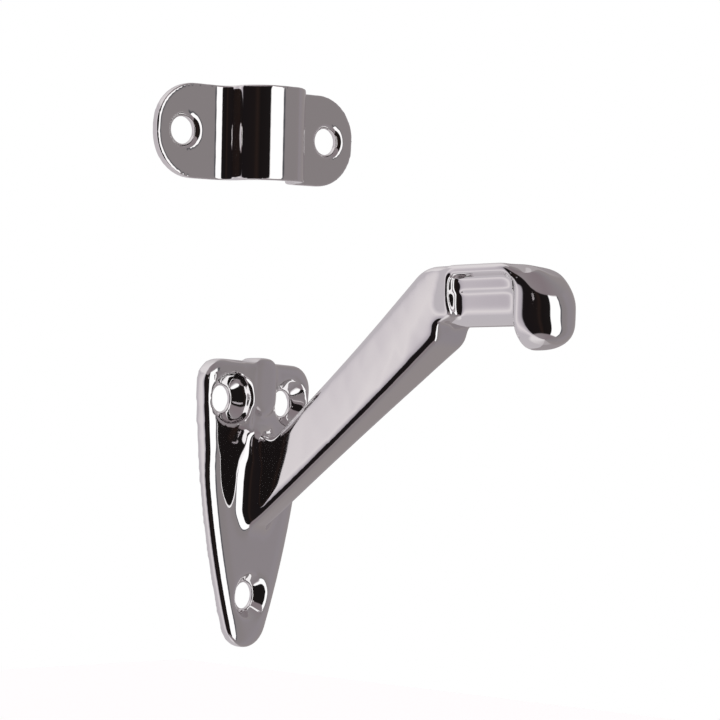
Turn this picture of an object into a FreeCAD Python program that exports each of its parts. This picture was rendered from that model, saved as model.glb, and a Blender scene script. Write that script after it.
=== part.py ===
import FreeCAD, Part
import Sketcher
import math
import os

# Handrail bracket, millimetres. +Z is up and the wall is the plane Y = 0, with the
# bracket standing out from it along -Y. The origin lies on the wall face, midway
# between the two upper wall screws.

sizes = {
    # wall plate
    "plate_half_width": 16.9,
    "plate_top": 8.7,
    "plate_drop": 54.6,
    "plate_corner": 5.4,
    "plate_side_radius": 185.0,
    "plate_tip_radius": 6.3,
    "plate_thick": 3.7,
    "plate_edge_round": 1.8,
    # thicker top of the plate, and the shield between the two upper screws
    "boss_thick": 4.5,
    "slope_end": 20.0,
    "slope_radius": 40.0,
    "crease_round": 20.0,
    "shield_height": 5.9,
    "shield_half_width": 3.7,
    "shield_top": 9.6,
    "shield_drop": 3.4,
    "shield_corner": 2.6,
    "shield_edge_round": 0.9,
    # wall screw holes
    "hole_half_spacing": 9.9,
    "low_hole_drop": 43.2,
    "hole_radius": 2.9,
    "sink_start": 1.95,
    "sink_radius": 5.5,
    # arm
    "arm_half_root": 3.4,
    "arm_half_mid": 3.6,
    "arm_half_end": 5.6,
    "arm_half_top": 8.6,
    "arm_mid_reach": 27.0,
    "arm_upper_reach": 12.6,
    "arm_upper_drop": 6.2,
    "arm_lower_reach": 12.4,
    "arm_lower_drop": 22.4,
    "arm_upper_rise": 39.4,
    "arm_lower_rise": 38.0,
    "arm_edge_round": 1.6,
    "nose_round": 4.0,
    "bend_round": 9.0,
    "root_round": 4.5,
    # how far cutting outlines run past the solid
    "cut_over": 2.0,
    # head
    "head_top": 27.5,
    "head_level_length": 20.0,
    "head_cut_height": 60.0,
    "recess_start": 60.9,
    "recess_length": 15.4,
    "head_half_width": 8.0,
    "saddle_thick": 2.2,
    "saddle_run_out": 4.7,
    "saddle_run_out_half": 4.0,
    "saddle_run_out_fall": 2.2,
    "neck_half_width": 5.4,
    "bar_half_width": 4.5,
    "bar_step_depth": 5.3,
    "bar_depth": 12.2,
    "shoulder_depth": 12.6,
    "shoulder_lead": 13.0,
    "shoulder_root_half": 2.6,
    "shoulder_root_depth": 10.0,
    "lip_depth": 17.1,
    "lip_half_width": 6.8,
    "lip_reach": 6.7,
    "lip_lead": 2.7,
    "lip_under_rise": 0.6,
    "lip_crown_lead": 0.7,
    "lip_corner": 4.0,
    "lip_corner_start": 0.8,
    "lip_tip_corner": 0.8,
    # strap
    "strap_clearance": 0.25,
    "strap_thick": 1.65,
    "strap_half_inside": 4.75,
    "strap_depth": 7.5,
    "strap_crest": 5.36,
    "strap_half_length": 19.1,
    "strap_end_flat": 0.55,
    "strap_bend": 2.1,
    "strap_hole_edge": 5.1,
    "strap_hole_radius": 2.15,
    "strap_sink_depth": 0.7,
    "strap_x": -94.53,
    "strap_reach": 88.52,
    "strap_z": 37.63,
    "strap_yaw": -11.73,
    "strap_pitch": -3.99,
    "strap_roll": 3.31,
}

doc = FreeCAD.newDocument("handrail_bracket")
sheet = doc.addObject("Spreadsheet::Sheet", "Sizes")
for row, (alias, number) in enumerate(sizes.items(), start=1):
    sheet.set("A%d" % row, alias)
    sheet.set("B%d" % row, str(number))
    sheet.setAlias("B%d" % row, alias)
doc.recompute()


def value(expression):
    """The number that an expression of the sheet's names gives."""
    return float(sheet.evalExpression(expression))


def bound(expression):
    """The same expression, written for use from outside the sheet."""
    words = []
    word = ""
    for letter in expression + " ":
        if letter.isalnum() or letter == "_":
            word += letter
            continue
        words.append("Sizes." + word if word in sizes else word)
        words.append(letter)
        word = ""
    return "".join(words).strip()


def origin_plane(body, role):
    return [part for part in body.Origin.OriginFeatures if part.Role == role][0]


def new_sketch(body, name, role, offset=None):
    """A sketch on one of the body's own planes, moved along the plane's normal."""
    sketch = body.newObject("Sketcher::SketchObject", name)
    sketch.AttachmentSupport = [(origin_plane(body, role), "")]
    sketch.MapMode = "FlatFace"
    if offset:
        sketch.setExpression("AttachmentOffset.Base.z", bound(offset))
    return sketch


def pin(sketch, edge, end, across, up):
    """Hold a point of an edge at the place that one or two expressions give."""
    for kind, axis, expression in (("DistanceX", -2, across), ("DistanceY", -1, up)):
        if expression is None:
            continue
        number = value(expression)
        if abs(number) < 1e-9:
            sketch.addConstraint(Sketcher.Constraint("PointOnObject", edge, end, axis))
            continue
        if number > 0:
            rule = Sketcher.Constraint(kind, -1, 1, edge, end, number)
            wanted = bound(expression)
        else:
            rule = Sketcher.Constraint(kind, edge, end, -1, 1, -number)
            wanted = "-(" + bound(expression) + ")"
        index = sketch.addConstraint(rule)
        sketch.setExpression("Constraints[%d]" % index, wanted)


def arc_between(start, end, radius, turn):
    """The arc from start to end, with its centre to the left (turn > 0) or right."""
    half = (end - start) * 0.5
    chord = half.Length
    rise = math.sqrt(max(radius * radius - chord * chord, 0.0))
    side = FreeCAD.Vector(-half.y, half.x, 0).normalize()
    centre = start + half + side * (rise * (1 if turn > 0 else -1))
    first = math.atan2(start.y - centre.y, start.x - centre.x)
    last = math.atan2(end.y - centre.y, end.x - centre.x)
    circle = Part.Circle(centre, FreeCAD.Vector(0, 0, 1), radius)
    if turn > 0:
        return Part.ArcOfCircle(circle, first, last), 1, 2
    return Part.ArcOfCircle(circle, last, first), 2, 1


def closed_outline(sketch, corners):
    """Draw a closed outline. Each corner is (across, up), or (across, up, radius, turn)
    where the edge that arrives there is an arc."""
    places = [FreeCAD.Vector(value(c[0]), value(c[1]), 0) for c in corners]
    ends = []
    for number, corner in enumerate(corners):
        start, end = places[number - 1], places[number]
        if len(corner) == 2:
            edge = sketch.addGeometry(Part.LineSegment(start, end))
            first, last = 1, 2
        else:
            curve, first, last = arc_between(start, end, value(corner[2]), corner[3])
            edge = sketch.addGeometry(curve)
            if abs(start.distanceToPoint(end) - 2 * value(corner[2])) < 1e-6:
                # a half circle: its level ends already give the radius
                pin(sketch, edge, 3, None, corner[1])
            else:
                index = sketch.addConstraint(Sketcher.Constraint("Radius", edge, value(corner[2])))
                sketch.setExpression("Constraints[%d]" % index, bound(corner[2]))
        ends.append((edge, first, last))
    for number, corner in enumerate(corners):
        edge, first, last = ends[number]
        after = ends[(number + 1) % len(ends)]
        sketch.addConstraint(Sketcher.Constraint("Coincident", edge, last, after[0], after[1]))
        pin(sketch, edge, last, corner[0], corner[1])


def pad(body, name, sketch, length, back=None):
    feature = body.newObject("PartDesign::Pad", name)
    feature.Profile = sketch
    feature.setExpression("Length", bound(length))
    if back:
        feature.SideType = "Two sides"
        feature.setExpression("Length2", bound(back))
    return feature


def pocket(body, name, sketch):
    """Cut the outline right through, both ways."""
    feature = body.newObject("PartDesign::Pocket", name)
    feature.Profile = sketch
    feature.SideType = "Two sides"
    feature.Type = "ThroughAll"
    feature.Type2 = "ThroughAll"
    return feature


def loft(body, name, sections):
    feature = body.newObject("PartDesign::AdditiveLoft", name)
    feature.Profile = sections[0]
    feature.Sections = sections[1:]
    return feature


def edges_where(shape, test):
    """The names of the edges whose middle passes a test."""
    names = []
    for number, edge in enumerate(shape.Edges, start=1):
        middle = edge.valueAt((edge.FirstParameter + edge.LastParameter) / 2)
        if test(edge, middle):
            names.append("Edge%d" % number)
    return names


def fillet(body, name, base, radius, test):
    doc.recompute()
    names = edges_where(base.Shape, test)
    feature = body.newObject("PartDesign::Fillet", name)
    feature.Base = (base, names)
    feature.setExpression("Radius", bound(radius))
    doc.recompute()
    return feature


def is_across(edge):
    """Whether the edge runs straight across the plate, level and parallel to the wall."""
    first, last = edge.Vertexes[0].Point, edge.Vertexes[-1].Point
    level = abs(first.z - last.z) < 0.01 and abs(first.y - last.y) < 0.01
    return level and first.z < value("plate_top") - 0.5 and abs(first.x + last.x) < 0.01


bracket = doc.addObject("PartDesign::Body", "bracket")
bracket.Label = "bracket"


# Wall plate: a shield with two round lobes at the top, long bowed sides and a round tip.
def plate_outline():
    sketch = new_sketch(bracket, "plate_outline", "XZ_Plane")
    corner, side, tip = value("plate_corner"), value("plate_side_radius"), value("plate_tip_radius")
    lobe = FreeCAD.Vector(value("plate_half_width - plate_corner"), value("plate_top - plate_corner"), 0)
    foot = FreeCAD.Vector(0, value("plate_tip_radius - plate_drop"), 0)
    # the centre of the right side's long arc, which both round ends touch from within
    span = foot - lobe
    near, far = side - corner, side - tip
    along = (near * near - far * far + span.Length ** 2) / (2 * span.Length)
    across = math.sqrt(near * near - along * along)
    unit = FreeCAD.Vector(span).normalize()
    middle = lobe + unit * along + FreeCAD.Vector(unit.y, -unit.x, 0) * across

    def angle(centre, point):
        return math.atan2(point.y - centre.y, point.x - centre.x)

    top_turn = angle(middle, lobe)
    low_turn = angle(middle, foot)
    up = FreeCAD.Vector(0, 0, 1)
    right_lobe = sketch.addGeometry(Part.ArcOfCircle(Part.Circle(lobe, up, corner), top_turn, math.pi / 2))
    top = sketch.addGeometry(Part.LineSegment(FreeCAD.Vector(lobe.x, value("plate_top"), 0),
                                              FreeCAD.Vector(-lobe.x, value("plate_top"), 0)))
    left = FreeCAD.Vector(-lobe.x, lobe.y, 0)
    left_lobe = sketch.addGeometry(Part.ArcOfCircle(Part.Circle(left, up, corner),
                                                    math.pi / 2, math.pi - top_turn))
    mirrored = FreeCAD.Vector(-middle.x, middle.y, 0)
    left_side = sketch.addGeometry(Part.ArcOfCircle(Part.Circle(mirrored, up, side),
                                                    math.pi - top_turn, math.pi - low_turn))
    tip_arc = sketch.addGeometry(Part.ArcOfCircle(Part.Circle(foot, up, tip),
                                                  -math.pi - low_turn, low_turn))
    right_side = sketch.addGeometry(Part.ArcOfCircle(Part.Circle(middle, up, side), low_turn, top_turn))
    for first, end, second, start in ((right_lobe, 2, top, 1), (top, 2, left_lobe, 1),
                                      (left_lobe, 2, left_side, 1), (left_side, 2, tip_arc, 1),
                                      (tip_arc, 2, right_side, 1), (right_side, 2, right_lobe, 1)):
        sketch.addConstraint(Sketcher.Constraint("Tangent", first, end, second, start))
    for edge, name in ((right_lobe, "plate_corner"), (left_lobe, "plate_corner"),
                       (left_side, "plate_side_radius"), (right_side, "plate_side_radius"),
                       (tip_arc, "plate_tip_radius")):
        index = sketch.addConstraint(Sketcher.Constraint("Radius", edge, value(name)))
        sketch.setExpression("Constraints[%d]" % index, bound(name))
    pin(sketch, right_lobe, 3, "plate_half_width - plate_corner", "plate_top - plate_corner")
    pin(sketch, left_lobe, 3, "plate_corner - plate_half_width", "plate_top - plate_corner")
    pin(sketch, tip_arc, 3, "0", "plate_tip_radius - plate_drop")
    return sketch


plate = pad(bracket, "plate", plate_outline(), "boss_thick")


# Below the screws the front falls back in a long hollow curve to the thinner lower plate.
def slope_outline():
    sketch = new_sketch(bracket, "slope_outline", "YZ_Plane")
    rise = "(boss_thick + cut_over - plate_thick)"
    run = "sqrt(slope_radius ^ 2 - (slope_radius - " + rise + ") ^ 2)"
    corners = [
        ("-(plate_thick)", "-(plate_drop + cut_over)"),
        ("-(plate_thick)", "-(slope_end)"),
        ("-(boss_thick + cut_over)", "-(slope_end) + " + run, "slope_radius", 1),
        ("-(boss_thick + cut_over)", "-(plate_drop + cut_over)"),
    ]
    closed_outline(sketch, corners)
    return sketch


slope = pocket(bracket, "slope", slope_outline())
crease = fillet(
    bracket, "crease", slope, "crease_round",
    lambda edge, middle: is_across(edge) and abs(-middle.y - value("boss_thick")) < 0.01,
)
rim = fillet(
    bracket, "rim", crease, "plate_edge_round",
    lambda edge, middle: (-middle.y > value("plate_thick") - 0.01
                          and not is_across(edge)),
)


# Shield: a raised pad between the upper screws, round below and at its top corners.
def shield_outline():
    sketch = new_sketch(bracket, "shield_outline", "XZ_Plane")
    corners = [
        ("-(shield_half_width - shield_corner)", "shield_top"),
        ("-(shield_half_width)", "shield_top - shield_corner", "shield_corner", 1),
        ("-(shield_half_width)", "shield_half_width - shield_drop"),
        ("shield_half_width", "shield_half_width - shield_drop", "shield_half_width", 1),
        ("shield_half_width", "shield_top - shield_corner"),
        ("shield_half_width - shield_corner", "shield_top", "shield_corner", 1),
    ]
    closed_outline(sketch, corners)
    return sketch


shield = pad(bracket, "shield", shield_outline(), "shield_height")
shield_edge = fillet(
    bracket, "shield_edge", shield, "shield_edge_round",
    lambda edge, middle: abs(-middle.y - value("shield_height")) < 0.01,
)


# Arm: a slightly waisted bar that rises from the plate to the head. Its sections stand
# parallel to the wall.
def arm_section(name, reach, low_half, top_half):
    sketch = new_sketch(bracket, name, "XZ_Plane", reach)
    upper = "(" + reach + " - arm_upper_reach) * tan(arm_upper_rise) - arm_upper_drop"
    lower = "(" + reach + " - arm_lower_reach) * tan(arm_lower_rise) - arm_lower_drop"
    corners = [
        ("-(" + low_half + ")", lower),
        (low_half, lower),
        (top_half, upper),
        ("-(" + top_half + ")", upper),
    ]
    closed_outline(sketch, corners)
    return sketch


arm = loft(bracket, "arm", [
    arm_section("arm_root", "plate_thick / 2", "arm_half_root", "arm_half_root"),
    arm_section("arm_middle", "arm_mid_reach", "arm_half_mid", "arm_half_mid"),
    arm_section("arm_end", "recess_start", "arm_half_end", "arm_half_top"),
])


# The head is cut off level, where the rail rests.
def level_outline():
    sketch = new_sketch(bracket, "level_outline", "YZ_Plane")
    corners = [
        ("-(recess_start + head_level_length)", "head_top"),
        ("0", "head_top"),
        ("0", "head_top + head_cut_height"),
        ("-(recess_start + head_level_length)", "head_top + head_cut_height"),
    ]
    closed_outline(sketch, corners)
    return sketch


level = pocket(bracket, "level", level_outline())
nose = fillet(
    bracket, "nose", level, "nose_round",
    lambda edge, middle: (abs(middle.x) < 0.1
                          and -middle.y > value("recess_start") - 0.1
                          and middle.z < value("head_top") - 5),
)
bend = fillet(
    bracket, "bend", nose, "bend_round",
    lambda edge, middle: (abs(middle.x) < 0.1
                          and abs(middle.z - value("head_top")) < 0.01
                          and -middle.y < value("recess_start") - 1),
)
arm_edges = fillet(
    bracket, "arm_edges", bend, "arm_edge_round",
    lambda edge, middle: (abs(middle.x) > value("arm_half_root") * 0.8
                          and -middle.y > value("boss_thick") + 5
                          and -middle.y < value("recess_start") - 0.1),
)

# The arm grows out of the plate in a large round.
root = fillet(
    bracket, "root", arm_edges, "root_round",
    lambda edge, middle: (abs(middle.x) < value("arm_half_root") + 0.3
                          and -middle.y > value("plate_thick") - 0.1
                          and -middle.y < value("plate_thick") + 0.6
                          and middle.z < -12
                          and middle.z > -30),
)


# Shoulder: the arm swells into a round-bottomed block that ends at the strap's recess.
def cradle_corners(half, top, depth):
    """A flat-topped outline with upright sides and a half-round underside."""
    waist = top + " - (" + depth + ") + (" + half + ")"
    return [
        ("-(" + half + ")", top),
        ("-(" + half + ")", waist),
        (half, waist, half, 1),
        (half, top),
    ]


def cradle_section(name, reach, half, top, depth):
    sketch = new_sketch(bracket, name, "XZ_Plane", reach)
    closed_outline(sketch, cradle_corners(half, top, depth))
    return sketch


shoulder = loft(bracket, "shoulder", [
    cradle_section("shoulder_root", "recess_start - shoulder_lead", "shoulder_root_half",
                   "(recess_start - shoulder_lead - arm_upper_reach) * tan(arm_upper_rise)"
                   " - arm_upper_drop - arm_edge_round", "shoulder_root_depth"),
    cradle_section("shoulder_end", "recess_start", "head_half_width", "head_top", "shoulder_depth"),
])


# Bar: a saddle plate on top, a neck, and a half-round bar that the strap wraps.
def bar_outline():
    sketch = new_sketch(bracket, "bar_outline", "XZ_Plane", "recess_start")
    ledge = "head_top - bar_step_depth"
    waist = "head_top - bar_depth + bar_half_width"
    corners = [
        ("-(head_half_width)", "head_top"),
        ("-(head_half_width)", "head_top - saddle_thick"),
        ("-(neck_half_width)", "head_top - saddle_thick"),
        ("-(neck_half_width)", ledge),
        ("-(bar_half_width)", ledge),
        ("-(bar_half_width)", waist),
        ("bar_half_width", waist, "bar_half_width", 1),
        ("bar_half_width", ledge),
        ("neck_half_width", ledge),
        ("neck_half_width", "head_top - saddle_thick"),
        ("head_half_width", "head_top - saddle_thick"),
        ("head_half_width", "head_top"),
    ]
    closed_outline(sketch, corners)
    return sketch


bar = pad(bracket, "bar", bar_outline(), "recess_length")


# Lip: a ball-ended stop that closes the recess. Its crown runs down from the level top
# in one long curve, and its underside is round.
def lip_section(name, reach, half, fall, corner):
    """One slice: its distance from the wall, half its width, how far it lies past the
    start of the crown's curve, and the radius of its two top corners."""
    sketch = new_sketch(bracket, name, "XZ_Plane", reach)
    crown = "(lip_crown_lead + lip_lead + lip_reach)"
    top = "head_top - " + crown + " + sqrt(" + crown + " ^ 2 - (" + fall + ") ^ 2)"
    low = ("head_top - lip_depth + lip_under_rise * lip_half_width"
           " + (1 - lip_under_rise) * " + half)
    inner = half + " - (" + corner + ")"
    corners = [
        ("-(" + inner + ")", top),
        ("-(" + half + ")", top + " - (" + corner + ")", corner, 1),
        ("-(" + half + ")", low),
        (half, low, half, 1),
        (half, top + " - (" + corner + ")"),
        (inner, top, corner, 1),
    ]
    closed_outline(sketch, corners)
    return sketch


def ball_section(name, turn, corner):
    """The slice where the ball's front has turned by so many degrees."""
    ahead = "lip_lead + lip_reach * sin(" + turn + ")"
    return lip_section(name, "recess_start + recess_length + " + ahead,
                       "lip_half_width * cos(" + turn + ")", "lip_crown_lead + " + ahead, corner)


lip = loft(bracket, "lip", [
    lip_section("lip_back_section", "recess_start + recess_length", "lip_half_width",
                "lip_crown_lead", "lip_corner_start"),
    ball_section("lip_side_section", "0", "lip_corner * 0.4"),
    ball_section("lip_front_section", "26", "lip_corner"),
    ball_section("lip_nose_section", "50", "lip_tip_corner * lip_half_width * cos(50)"),
    ball_section("lip_tip_section", "70", "lip_tip_corner * lip_half_width * cos(70)"),
    ball_section("lip_end_section", "82", "lip_tip_corner * lip_half_width * cos(82)"),
])


# The wider saddle runs out into the crown of the lip.
def saddle_section(name, reach, half, top):
    sketch = new_sketch(bracket, name, "XZ_Plane", reach)
    corners = [
        ("-(" + half + ")", top),
        ("-(" + half + ")", top + " - saddle_thick"),
        (half, top + " - saddle_thick"),
        (half, top),
    ]
    closed_outline(sketch, corners)
    return sketch


saddle_end = loft(bracket, "saddle_end", [
    saddle_section("saddle_end_start", "recess_start + recess_length", "head_half_width", "head_top"),
    saddle_section("saddle_end_tip", "recess_start + recess_length + saddle_run_out",
                   "saddle_run_out_half", "head_top - saddle_run_out_fall"),
])


# The wall screw holes, each with a countersink and a straight wall above it.
def screw_hole(name, place_x, drop):
    sketch = new_sketch(bracket, name + "_outline", "XY_Plane", "-(" + drop + ")")
    inner = "(" + place_x + ") + hole_radius"
    outer = "(" + place_x + ") + sink_radius"
    corners = [
        (place_x, "cut_over"),
        (place_x, "-(shield_height + cut_over)"),
        (outer, "-(shield_height + cut_over)"),
        (outer, "-(sink_start + sink_radius - hole_radius)"),
        (inner, "-(sink_start)"),
        (inner, "cut_over"),
    ]
    closed_outline(sketch, corners)
    feature = bracket.newObject("PartDesign::Groove", name)
    feature.Profile = sketch
    feature.ReferenceAxis = (sketch, ["Edge2"])
    feature.Angle = 360
    return feature


screw_hole("hole_a", "hole_half_spacing", "0")
screw_hole("hole_b", "-(hole_half_spacing)", "0")
screw_hole("hole_c", "0", "low_hole_drop")
doc.recompute()


# Strap: a band folded round the bar, with a flange and a screw hole on either side.
strap = doc.addObject("PartDesign::Body", "strap")
strap.Label = "strap"


def strap_outline():
    sketch = new_sketch(strap, "strap_outline", "XY_Plane")
    wall = "strap_half_inside"
    outer = "(strap_half_inside + strap_thick)"
    corners = [
        ("-(strap_half_length)", "strap_thick"),
        ("-(strap_half_length)", "0"),
        ("-(" + outer + " + strap_bend)", "0"),
        ("-" + outer, "-(strap_bend)", "strap_bend", -1),
        ("-" + outer, "-(strap_depth - strap_crest)"),
        ("-(" + outer + " - strap_crest)", "-(strap_depth)", "strap_crest", 1),
        ("(" + outer + " - strap_crest)", "-(strap_depth)"),
        (outer, "-(strap_depth - strap_crest)", "strap_crest", 1),
        (outer, "-(strap_bend)"),
        (outer + " + strap_bend", "0", "strap_bend", -1),
        ("strap_half_length", "0"),
        ("strap_half_length", "strap_thick"),
        (outer + " + strap_bend", "strap_thick"),
        (wall, "-(strap_bend)", "strap_bend + strap_thick", 1),
        (wall, "-(strap_depth - strap_crest)"),
        ("(" + wall + " - (strap_crest - strap_thick))", "-(strap_depth - strap_thick)",
         "strap_crest - strap_thick", -1),
        ("-(" + wall + " - (strap_crest - strap_thick))", "-(strap_depth - strap_thick)"),
        ("-" + wall, "-(strap_depth - strap_crest)", "strap_crest - strap_thick", -1),
        ("-" + wall, "-(strap_bend)"),
        ("-(" + outer + " + strap_bend)", "strap_thick", "strap_bend + strap_thick", 1),
    ]
    closed_outline(sketch, corners)
    return sketch


band = pad(strap, "band", strap_outline(), "(recess_length - 2 * strap_clearance) / 2",
           "(recess_length - 2 * strap_clearance) / 2")
doc.recompute()
ends = fillet(
    strap, "strap_ends", band, "recess_length / 2 - strap_clearance - strap_end_flat",
    lambda edge, middle: (abs(abs(middle.x) - value("strap_half_length")) < 0.01
                          and abs(middle.y - value("strap_thick") / 2) < 0.01),
)


# The strap's screw holes, with a shallow countersink in front.
def strap_hole(name, place_x):
    sketch = new_sketch(strap, name + "_outline", "XY_Plane")
    corners = [
        (place_x, "strap_thick + cut_over"),
        (place_x, "-(cut_over)"),
        ("(" + place_x + ") + strap_hole_radius + strap_sink_depth + cut_over", "-(cut_over)"),
        ("(" + place_x + ") + strap_hole_radius", "strap_sink_depth"),
        ("(" + place_x + ") + strap_hole_radius", "strap_thick + cut_over"),
    ]
    closed_outline(sketch, corners)
    feature = strap.newObject("PartDesign::Groove", name)
    feature.Profile = sketch
    feature.ReferenceAxis = (sketch, ["Edge2"])
    feature.Angle = 360
    return feature


strap_hole("strap_hole_a", "strap_half_length - strap_hole_edge")
strap_hole("strap_hole_b", "strap_hole_edge - strap_half_length")

# The strap hangs off the bar, ahead of and above the wall plate, a little turned.
strap.setExpression(
    "Placement",
    "placement(vector(Sizes.strap_x; -Sizes.strap_reach; Sizes.strap_z);"
    " rotation(Sizes.strap_yaw; Sizes.strap_pitch; Sizes.strap_roll))",
)
doc.recompute()

for thing in doc.Objects:
    if "Invalid" in thing.State or "Error" in thing.State:
        raise SystemExit(thing.Name + " could not be built: " + thing.getStatusString())
for body in (bracket, strap):
    if body.Shape.isNull() or not body.Shape.isValid():
        raise SystemExit(body.Name + " has no sound shape")
    print(body.Name, round(body.Shape.Volume, 1), "cubic mm,", len(body.Shape.Faces), "faces")

os.makedirs("parts", exist_ok=True)
bracket.Shape.exportStep("parts/bracket.step")
strap.Shape.exportStep("parts/strap.step")
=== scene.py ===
import math

import bpy
import numpy as np
from mathutils import Matrix, Vector


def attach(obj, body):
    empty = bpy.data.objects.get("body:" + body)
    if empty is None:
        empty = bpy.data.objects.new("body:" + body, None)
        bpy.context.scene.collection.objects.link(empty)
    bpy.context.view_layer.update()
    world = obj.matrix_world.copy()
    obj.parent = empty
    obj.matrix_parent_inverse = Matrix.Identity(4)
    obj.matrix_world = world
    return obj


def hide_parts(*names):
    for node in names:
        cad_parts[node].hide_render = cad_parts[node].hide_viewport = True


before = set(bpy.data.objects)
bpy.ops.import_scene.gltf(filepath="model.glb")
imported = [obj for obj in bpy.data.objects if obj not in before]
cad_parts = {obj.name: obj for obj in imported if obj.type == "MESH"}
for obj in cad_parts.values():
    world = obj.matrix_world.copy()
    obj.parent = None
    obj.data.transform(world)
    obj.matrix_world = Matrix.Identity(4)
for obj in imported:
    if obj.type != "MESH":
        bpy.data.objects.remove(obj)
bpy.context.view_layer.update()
print("frame loaded")

perMetre = 1000.0  # millimetres, the unit of the part's source, in a metre

cameraSetup = {
    "place": (-0.32669, -0.30642, -0.01716),  # metres, in the part's own frame
    "azimuth": 220.0,  # degrees round +Z, from the bracket to the camera
    "elevation": -3.5,
    "roll": 2.29,
    "lens": 100.0,
    "sensor": 36.0,
    "clipStart": 0.01,
}


def addCamera(setup):
    azimuth = math.radians(setup["azimuth"])
    elevation = math.radians(setup["elevation"])
    back = Vector((
        math.cos(elevation) * math.cos(azimuth),
        math.cos(elevation) * math.sin(azimuth),
        math.sin(elevation),
    ))
    turn = back.to_track_quat("Z", "Y").to_matrix().to_4x4()
    roll = Matrix.Rotation(math.radians(setup["roll"]), 4, "Z")
    data = bpy.data.cameras.new("photoCamera")
    data.lens = setup["lens"]
    data.sensor_width = setup["sensor"]
    data.clip_start = setup["clipStart"]
    camera = bpy.data.objects.new("photoCamera", data)
    camera.matrix_world = Matrix.Translation(setup["place"]) @ turn @ roll
    bpy.context.scene.collection.objects.link(camera)
    bpy.context.scene.camera = camera


addCamera(cameraSetup)
print("camera set")

# The studio, as the chrome sees it. Each stop is degrees to the right of the camera and
# the brightness there. Panels stand in front of the walls. Their lower and upper edges each
# fade between two elevations, given as sines.
studioSetup = {
    "cameraAzimuth": cameraSetup["azimuth"],
    "walls": [
        (-180.0, (0.58, 0.55, 0.56)),
        (-120.0, (0.80, 0.77, 0.78)),
        (-89.0, (0.82, 0.79, 0.80)),
        (-83.0, (0.80, 0.76, 0.77)),
        (-79.0, (0.74, 0.70, 0.72)),
        (-73.0, (0.60, 0.57, 0.60)),
        (-66.0, (0.30, 0.27, 0.28)),
        (20.0, (0.25, 0.21, 0.225)),
        (110.0, (0.28, 0.26, 0.27)),
        (150.0, (0.31, 0.28, 0.28)),
        (158.0, (0.44, 0.41, 0.42)),
        (180.0, (0.44, 0.41, 0.42)),
    ],
    "panels": [
        (-180.0, (0.56, 0.53, 0.55)),
        (-97.0, (0.56, 0.53, 0.56)),
        (-89.0, (0.68, 0.64, 0.67)),
        (-83.0, (0.80, 0.76, 0.77)),
        (-79.5, (0.68, 0.64, 0.67)),
        (-75.5, (0.52, 0.48, 0.52)),
        (-72.0, (0.48, 0.45, 0.49)),
        (-69.0, (0.010, 0.008, 0.009)),
        (-24.0, (0.012, 0.009, 0.009)),
        (-14.0, (0.022, 0.014, 0.012)),
        (-4.0, (0.010, 0.008, 0.008)),
        (24.0, (0.012, 0.010, 0.010)),
        (26.0, (1.2, 1.2, 1.2)),
        (62.5, (1.2, 1.2, 1.2)),
        (64.0, (0.05, 0.055, 0.065)),
        (67.5, (0.10, 0.10, 0.11)),
        (70.0, (0.26, 0.24, 0.245)),
        (88.0, (0.27, 0.245, 0.25)),
        (104.0, (0.295, 0.27, 0.29)),
        (150.0, (0.31, 0.28, 0.28)),
        (158.0, (0.34, 0.31, 0.32)),
        (180.0, (0.34, 0.31, 0.32)),
    ],
    "panelLow": (-0.89, -0.85),
    "panelHigh": (0.50, 0.56),
    "backdropColour": (1.0, 1.0, 1.0, 1.0),
    "backdrop": 1.0,
}


def rampStops(ramp, stops):
    elements = ramp.color_ramp.elements
    while len(elements) > 1:
        elements.remove(elements[-1])
    elements[0].position = stops[0][0]
    elements[0].color = (*stops[0][1], 1.0)
    for position, colour in stops[1:]:
        elements.new(position).color = (*colour, 1.0)


def sweepRamp(nodes, links, fraction, stops):
    ramp = nodes.new("ShaderNodeValToRGB")
    rampStops(ramp, [((degrees + 180.0) / 360.0, colour) for degrees, colour in stops])
    links.new(fraction, ramp.inputs["Fac"])
    return ramp.outputs["Color"]


def heightRamp(nodes, links, height, stops):
    ramp = nodes.new("ShaderNodeValToRGB")
    rampStops(ramp, [((sine + 1.0) / 2.0, (level,) * 3) for sine, level in stops])
    links.new(height, ramp.inputs["Fac"])
    return ramp.outputs["Color"]


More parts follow.
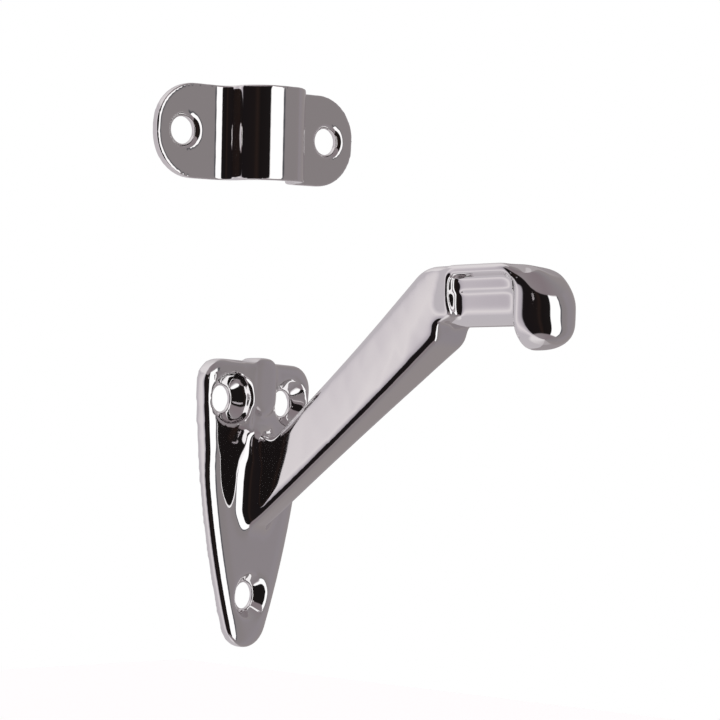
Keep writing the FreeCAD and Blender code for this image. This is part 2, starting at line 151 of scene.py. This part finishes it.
def addStudio(setup):
    world = bpy.data.worlds.new("studio")
    bpy.context.scene.world = world
    world.use_nodes = True
    tree = world.node_tree
    nodes, links = tree.nodes, tree.links
    nodes.clear()
    place = nodes.new("ShaderNodeTexCoord")
    turn = nodes.new("ShaderNodeMapping")
    turn.vector_type = "POINT"
    turn.inputs["Rotation"].default_value[2] = -math.radians(setup["cameraAzimuth"])
    links.new(place.outputs["Generated"], turn.inputs["Vector"])
    split = nodes.new("ShaderNodeSeparateXYZ")
    links.new(turn.outputs["Vector"], split.inputs["Vector"])
    angle = nodes.new("ShaderNodeMath")
    angle.operation = "ARCTAN2"
    links.new(split.outputs["Y"], angle.inputs[0])
    links.new(split.outputs["X"], angle.inputs[1])
    fraction = nodes.new("ShaderNodeMapRange")
    fraction.inputs["From Min"].default_value = -math.pi
    fraction.inputs["From Max"].default_value = math.pi
    links.new(angle.outputs["Value"], fraction.inputs["Value"])
    walls = sweepRamp(nodes, links, fraction.outputs["Result"], setup["walls"])
    panels = sweepRamp(nodes, links, fraction.outputs["Result"], setup["panels"])
    height = nodes.new("ShaderNodeMapRange")
    height.inputs["From Min"].default_value = -1.0
    height.inputs["From Max"].default_value = 1.0
    links.new(split.outputs["Z"], height.inputs["Value"])
    low, high = setup["panelLow"], setup["panelHigh"]
    edges = [(-1.0, 0.0), (low[0], 0.0), (low[1], 1.0), (high[0], 1.0), (high[1], 0.0)]
    band = heightRamp(nodes, links, height.outputs["Result"], edges)
    room = nodes.new("ShaderNodeMix")
    room.data_type = "RGBA"
    links.new(band, room.inputs["Factor"])
    links.new(walls, room.inputs["A"])
    links.new(panels, room.inputs["B"])
    glow = nodes.new("ShaderNodeBackground")
    links.new(room.outputs["Result"], glow.inputs["Color"])
    backdrop = nodes.new("ShaderNodeBackground")
    backdrop.inputs["Color"].default_value = setup["backdropColour"]
    backdrop.inputs["Strength"].default_value = setup["backdrop"]
    seen = nodes.new("ShaderNodeLightPath")
    choose = nodes.new("ShaderNodeMixShader")  # the camera sees the backdrop, chrome the room
    links.new(seen.outputs["Is Camera Ray"], choose.inputs["Fac"])
    links.new(glow.outputs["Background"], choose.inputs[1])
    links.new(backdrop.outputs["Background"], choose.inputs[2])
    output = nodes.new("ShaderNodeOutputWorld")
    links.new(choose.outputs["Shader"], output.inputs["Surface"])


addStudio(studioSetup)
print("studio set")

chromeSetup = {
    "bracket": {
        "colour": (0.86, 0.845, 0.85, 1.0),
        "roughness": 0.045,
        "waveScale": 95.0,
        "waveStrength": 0.03,
        "waveDepth": 0.0004,
        "waveDetail": 1.0,
    },
    "strap": {
        "colour": (0.86, 0.84, 0.84, 1.0),
        "roughness": 0.04,
        "waveScale": 140.0,
        "waveStrength": 0.04,
        "waveDepth": 0.0003,
        "waveDetail": 1.0,
    },
}


def chrome(name, setup):
    material = bpy.data.materials.new(name)
    material.use_nodes = True
    nodes, links = material.node_tree.nodes, material.node_tree.links
    shader = nodes["Principled BSDF"]
    shader.inputs["Base Color"].default_value = setup["colour"]
    shader.inputs["Metallic"].default_value = 1.0
    shader.inputs["Roughness"].default_value = setup["roughness"]
    place = nodes.new("ShaderNodeTexCoord")
    wave = nodes.new("ShaderNodeTexNoise")
    wave.inputs["Scale"].default_value = setup["waveScale"]
    wave.inputs["Detail"].default_value = setup["waveDetail"]
    links.new(place.outputs["Object"], wave.inputs["Vector"])
    bump = nodes.new("ShaderNodeBump")
    bump.inputs["Strength"].default_value = setup["waveStrength"]
    bump.inputs["Distance"].default_value = setup["waveDepth"]
    links.new(wave.outputs["Fac"], bump.inputs["Height"])
    links.new(bump.outputs["Normal"], shader.inputs["Normal"])
    return material


finishes = {name: chrome(name + "Chrome", chromeSetup[name]) for name in chromeSetup}
print("chrome mixed")

# The casting was ground and polished before it was plated, so its edges are soft and its
# blends run into each other. Lengths are in millimetres, but for the voxels, in metres.
castSetup = {
    "coarseVoxel": 0.00045,
    "voxel": 0.00036,
    "passes": 10,
    "headPasses": 14,
    "factor": 0.5,
    "headStart": 46.0,
    "headFade": 5.0,
    "shieldPasses": 26,
    "shieldBox": ((-7.0, 7.0), (3.9, 7.0), (-7.0, 11.0)),
    "boxFade": 0.8,
    "groupSteps": 10,
}

# The plate's outline as in the part's source: circles are centre across, centre up, radius.
plateSetup = {
    "top": 8.7,
    "lobe": (11.5, 3.3, 5.4),
    "side": (-167.834, 13.062, 185.0),
    "tip": (-48.3, 6.3),
    "tipSlope": 0.2,
    "deepest": 40.0,
    "front": (1.2, 4.9),
    "frontFacing": -0.1,
    "castRound": 1.8,  # the solid's own rim, which the crown takes the place of
    "edgeRound": 0.66,
    "edgeTilt": 37.0,
    "crownRound": 4.2,
    "crownTilt": 12.0,
    "crownEnd": 4.0,
    "shieldClear": (4.4, 5.5),
    "holes": ((-9.9, 0.0), (9.9, 0.0), (0.0, -43.2)),
    "holeRadius": 2.9,
    "sinkStart": 1.3,
    "sinkRadius": 5.45,
    "sinkMargin": 0.05,
    "backSkin": 0.6,
    "rampHole": 9.9,
    "rampEdge": -17.0,
    "rampFrom": -15.5,
    "rampTo": -3.6,
    "rampOver": 0.1,
    "rampRise": 1.25,
    "rampFoot": (-9.0, -3.0),
    "rampFront": (3.6, 5.0),
    "rampFacing": -0.4,
}

saddleSetup = {
    "from": 25.2,
    "inner": 6.9,
    "reach": (60.0, 79.0),
    "lean": 0.16,
}

lipSetup = {
    "start": (73.5, 79.0),
    "rise": (18.0, 26.0),
    "spread": (3.0, 6.8),
    "drop": 1.8,
}

armEndSetup = {
    "clampFrom": 55.5,
    "clampTo": 61.0,
    "clampSoft": 1.5,
    "barFade": (62.0, 74.0),
    "below": (15.4, 17.5),
}


def softStep(values, low, high):
    share = np.clip((values - low) / (high - low), 0.0, 1.0)
    return share * share * (3.0 - 2.0 * share)


def insetFromOutline(across, up, setup):
    across = np.abs(across)
    centreX, centreZ, radius = setup["side"]
    inset = radius - np.hypot(across - centreX, up - centreZ)
    inset = np.minimum(inset, setup["top"] - up)
    lobeX, lobeZ, lobeRadius = setup["lobe"]
    inLobe = (across > lobeX) & (up > lobeZ)
    inset = np.where(inLobe, lobeRadius - np.hypot(across - lobeX, up - lobeZ), inset)
    tipZ, tipRadius = setup["tip"]
    inTip = up < tipZ - setup["tipSlope"] * across
    return np.where(inTip, tipRadius - np.hypot(across, up - tipZ), inset)


def roundDrop(inset, radius):
    across = np.clip(radius - inset, 0.0, radius)
    return radius - np.sqrt(radius * radius - across * across)


# How far the crowned face lies behind the flat one: an edge round, a wider crown round, and
# a slight slope that levels off where the crown ends.
def crownDrop(inset, setup):
    edge, crown = setup["edgeRound"], setup["crownRound"]
    steep, slight = math.radians(setup["edgeTilt"]), math.radians(setup["crownTilt"])
    edgeEnd = edge * (1.0 - math.sin(steep))
    crownEnd = edgeEnd + crown * (math.sin(steep) - math.sin(slight))
    edgeSine = np.clip(1.0 - inset / edge, math.sin(steep), 1.0)
    drop = edge * (math.cos(steep) - np.sqrt(1.0 - edgeSine * edgeSine))
    sine = math.sin(steep) - (inset - edgeEnd) / crown
    sine = np.clip(sine, math.sin(slight), math.sin(steep))
    drop += crown * (math.cos(slight) - np.sqrt(1.0 - sine * sine))
    flat = setup["crownEnd"]
    left = np.clip(flat - inset, 0.0, flat - crownEnd)
    return drop + 0.5 * math.tan(slight) * left * left / (flat - crownEnd)


# The plate's face, but for the shield's, is crowned and not flat.
def crownPlate(spots, normals, setup):
    across, depth, up = spots[:, 0], -spots[:, 1], spots[:, 2]
    inset = np.clip(insetFromOutline(across, up, setup), 0.0, setup["deepest"])
    low, high = setup["front"]
    onPlate = (depth > low) & (depth < high) & (normals[:, 1] < setup["frontFacing"])
    clearX, clearZ = setup["shieldClear"]
    onPlate &= ~((np.abs(across) < clearX) & (up > clearZ))
    drop = crownDrop(inset, setup) - roundDrop(inset, setup["castRound"])
    spots[:, 1] += np.where(onPlate, drop, 0.0)


# The left lobe climbs towards the shield.
def rampLobe(spots, normals, setup):
    across, depth, up = spots[:, 0], -spots[:, 1], spots[:, 2]
    rise = setup["rampRise"] * softStep(across, setup["rampFrom"], setup["rampTo"])
    rise *= softStep(up, *setup["rampFoot"])
    low, high = setup["rampFront"]
    front = (depth > low) & (depth < high) & (normals[:, 1] < setup["rampFacing"])
    front &= (across < setup["rampTo"] + setup["rampOver"]) & (across > setup["rampEdge"])
    front &= np.hypot(across + setup["rampHole"], up) > setup["sinkRadius"]
    spots[:, 1] -= np.where(front, rise, 0.0)


# The wall countersinks start nearer the back than the solid's.
def deepenSinks(spots, setup):
    across, depth, up = spots[:, 0], -spots[:, 1], spots[:, 2]
    for holeX, holeZ in setup["holes"]:
        radius = np.hypot(across - holeX, up - holeZ)
        cone = setup["sinkStart"] + radius - setup["holeRadius"]
        inSink = radius < setup["sinkRadius"] + setup["sinkMargin"]
        inSink &= depth > setup["backSkin"]
        spots[:, 1] = np.where(inSink, -np.minimum(depth, cone), spots[:, 1])


# The saddle's sides lean inwards towards the top.
def leanSaddle(spots, setup):
    across, depth, up = spots[:, 0], -spots[:, 1], spots[:, 2]
    near, far = setup["reach"]
    side = (np.abs(across) > setup["inner"]) & (up > setup["from"])
    side &= (depth > near) & (depth < far)
    lean = setup["lean"] * (up - setup["from"]) * np.sign(across)
    spots[:, 0] -= np.where(side, lean, 0.0)


# The lip's upper corners are rounder than the solid's.
def roundLip(spots, setup):
    across, depth, up = spots[:, 0], -spots[:, 1], spots[:, 2]
    share = softStep(depth, *setup["start"]) * softStep(up, *setup["rise"])
    share *= softStep(np.abs(across), *setup["spread"])
    spots[:, 2] -= setup["drop"] * share


# The arm ends bluntly under the head, and doesn't run on as a wedge under the bar.
def tuckArmEnd(spots, setup):
    depth, up = -spots[:, 1], spots[:, 2]
    past = np.clip(depth, setup["clampFrom"], setup["clampTo"]) - setup["clampFrom"]
    kept = setup["clampSoft"] * (1.0 - np.exp(-past / setup["clampSoft"]))
    share = 1.0 - softStep(depth, *setup["barFade"])
    share *= 1.0 - softStep(up, *setup["below"])
    spots[:, 1] += (past - kept) * share


def bakedMesh(piece, name):
    graph = bpy.context.evaluated_depsgraph_get()
    mesh = bpy.data.meshes.new_from_object(piece.evaluated_get(graph))
    mesh.name = name
    piece.modifiers.clear()
    piece.data = mesh
    return mesh


def remeshed(piece, voxel, name):
    remesh = piece.modifiers.new("remesh", "REMESH")
    remesh.mode = "VOXEL"
    remesh.voxel_size = voxel
    return bakedMesh(piece, name)


def vertexRows(mesh):
    spots = np.empty(len(mesh.vertices) * 3)
    mesh.vertices.foreach_get("co", spots)
    normals = np.empty(len(mesh.vertices) * 3)
    mesh.vertices.foreach_get("normal", normals)
    return spots.reshape(-1, 3) * perMetre, normals.reshape(-1, 3)


def placeVertices(mesh, spots):
    mesh.vertices.foreach_set("co", (spots / perMetre).ravel())
    mesh.update()


def addGroup(piece, name, share, steps):
    group = piece.vertex_groups.new(name=name)
    for level in range(1, steps + 1):
        rows = np.nonzero(np.round(share * steps) == level)[0]
        group.add([int(row) for row in rows], level / steps, "REPLACE")


def boxShare(spots, box, fade):
    share = np.ones(len(spots))
    for values, (low, high) in zip((spots[:, 0], -spots[:, 1], spots[:, 2]), box):
        share *= softStep(values, low, low + fade) * (1.0 - softStep(values, high - fade, high))
    return share


def addPolish(piece, setup, passes, group=None):
    polish = piece.modifiers.new("polish", "SMOOTH")
    polish.factor = setup["factor"]
    polish.iterations = passes
    if group:
        polish.vertex_group = group


def copyOf(node, name):
    piece = bpy.data.objects.new(name, node.data.copy())
    bpy.context.scene.collection.objects.link(piece)
    return piece


def finishPiece(piece, node, slot):
    mesh = bakedMesh(piece, piece.name)
    piece.vertex_groups.clear()
    mesh.materials.clear()
    mesh.materials.append(finishes[slot])
    mesh.shade_smooth()
    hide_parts(node.name)
    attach(piece, "root")
    print(piece.name, "faces", len(mesh.polygons))


def addPolishedCast(node, setup):
    cast = copyOf(node, "bracketCast")
    mesh = remeshed(cast, setup["coarseVoxel"], "bracketCoarse")
    spots, normals = vertexRows(mesh)
    crownPlate(spots, normals, plateSetup)
    rampLobe(spots, normals, plateSetup)
    deepenSinks(spots, plateSetup)
    leanSaddle(spots, saddleSetup)
    roundLip(spots, lipSetup)
    tuckArmEnd(spots, armEndSetup)
    placeVertices(mesh, spots)
    mesh = remeshed(cast, setup["voxel"], "bracketFine")
    spots = vertexRows(mesh)[0]
    headEnd = setup["headStart"] + setup["headFade"]
    head = softStep(-spots[:, 1], setup["headStart"], headEnd)
    shield = boxShare(spots, setup["shieldBox"], setup["boxFade"])
    addGroup(cast, "head", head, setup["groupSteps"])
    addGroup(cast, "shield", shield, setup["groupSteps"])
    addPolish(cast, setup, setup["passes"])
    addPolish(cast, setup, setup["headPasses"], "head")
    addPolish(cast, setup, setup["shieldPasses"], "shield")
    finishPiece(cast, node, "bracket")


addPolishedCast(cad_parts["bracket"], castSetup)
print("cast polished")

# The strap's fold sits a little to one side of the middle between its holes, as pictured.
strapSetup = {
    "voxel": 0.00015,
    "passes": 26,
    "factor": 0.5,
    "middle": (-94.2965, -87.3705, 37.698),
    "along": (0.9768, -0.2028, 0.0696),
    "slide": 1.0,
    "slideFrom": (-11.0, -1.0),
    "slideTo": (0.0, 5.0),
}


def slideFold(spots, setup):
    along = np.array(setup["along"])
    place = (spots - np.array(setup["middle"])) @ along
    share = softStep(place, *setup["slideFrom"]) * (1.0 - softStep(place, *setup["slideTo"]))
    spots += np.outer(setup["slide"] * share, along)


def addPolishedStrap(node, setup):
    strap = copyOf(node, "strapFolded")
    mesh = remeshed(strap, setup["voxel"], "strapFine")
    spots = vertexRows(mesh)[0]
    slideFold(spots, setup)
    placeVertices(mesh, spots)
    addPolish(strap, setup, setup["passes"])
    finishPiece(strap, node, "strap")


addPolishedStrap(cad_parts["strap"], strapSetup)
print("strap polished")

floorSetup = {
    "size": 3.0,
    "height": -0.25,
    "colour": (0.82, 0.81, 0.81, 1.0),
    "roughness": 0.9,
    "glowColour": (1.0, 1.0, 1.0, 1.0),
    "glow": 0.655,
}


def addFloor(setup):
    place = (0.0, 0.0, setup["height"])
    bpy.ops.mesh.primitive_plane_add(size=setup["size"], location=place)
    floor = bpy.context.active_object
    floor.name = "floor"
    material = bpy.data.materials.new("paleFloor")
    material.use_nodes = True
    nodes, links = material.node_tree.nodes, material.node_tree.links
    shader = nodes["Principled BSDF"]
    shader.inputs["Base Color"].default_value = setup["colour"]
    shader.inputs["Roughness"].default_value = setup["roughness"]
    shader.inputs["Emission Color"].default_value = setup["glowColour"]
    seen = nodes.new("ShaderNodeLightPath")
    glow = nodes.new("ShaderNodeMath")  # only the camera sees the glow, so it lights nothing
    glow.operation = "MULTIPLY"
    glow.inputs[1].default_value = setup["glow"]
    links.new(seen.outputs["Is Camera Ray"], glow.inputs[0])
    links.new(glow.outputs["Value"], shader.inputs["Emission Strength"])
    floor.data.materials.append(material)
    floor.visible_glossy = False


addFloor(floorSetup)
print("floor laid")

bpy.context.scene.view_settings.view_transform = "Standard"
